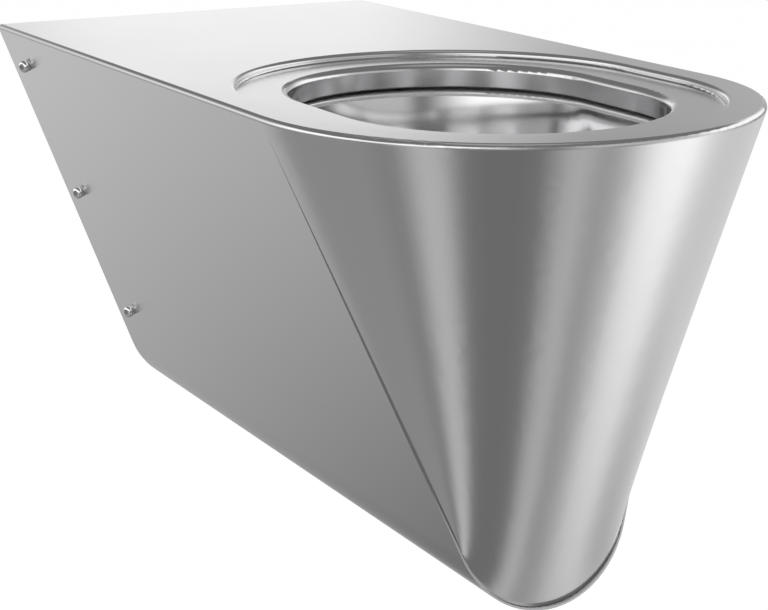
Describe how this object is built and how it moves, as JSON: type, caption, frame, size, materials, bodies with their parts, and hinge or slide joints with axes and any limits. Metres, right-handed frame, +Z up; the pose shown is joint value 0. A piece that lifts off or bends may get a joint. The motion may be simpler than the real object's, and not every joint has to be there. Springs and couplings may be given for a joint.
{
  "type": "wall-hung toilet pan",
  "caption": "Wall-hung toilet pan of folded stainless steel sheet: a tapering trough body with a ruled front, recessed seat ring, open flush rim, drawn bowl, trap and wall bracket.",
  "frame": {"origin": "middle between the two upper wall bolts, on the wall face of the bracket", "axes": "+X to the right as the pan is seen from the front, +Y into the wall, +Z up; the front points to -Y"},
  "size_m": [0.36, 0.7, 0.3499],
  "materials": {
    "satin_deck": "satin",
    "satin_body": "satin",
    "satin_inner": "satin",
    "polished_bowl": "polished",
    "plain_steel": "matt",
    "bracket_steel": "matt",
    "screw_steel": "bright",
    "black_rubber": "matt",
    "damping_mat": "matt"
  },
  "bodies": {
    "root": {"top_deck": "satin_deck", "body_shell": "satin_body", "front_cone": "satin_body", "rim_channel": "satin_inner", "bowl": "polished_bowl", "trap_front_elbow": "plain_steel", "trap_rear_elbow": "plain_steel", "trap_weir_elbow": "plain_steel", "outlet_spigot": "plain_steel", "outlet_seal": "black_rubber", "flush_inlet_pipe": "plain_steel", "flush_duct": "plain_steel", "inlet_seal": "black_rubber", "wall_bracket": "bracket_steel", "rear_plate": "plain_steel", "trap_saddle": "plain_steel", "bowl_cradle": "plain_steel", "deck_stiffener_rear": "plain_steel", "deck_stiffener_front": "plain_steel", "side_screws_left": "screw_steel", "side_screws_right": "screw_steel", "screw_collars_left": "screw_steel", "screw_collars_right": "screw_steel", "side_nuts_left": "screw_steel", "side_nuts_right": "screw_steel", "damping_pad_left": "damping_mat", "damping_pad_right": "damping_mat"}
  },
  "joints": []
}
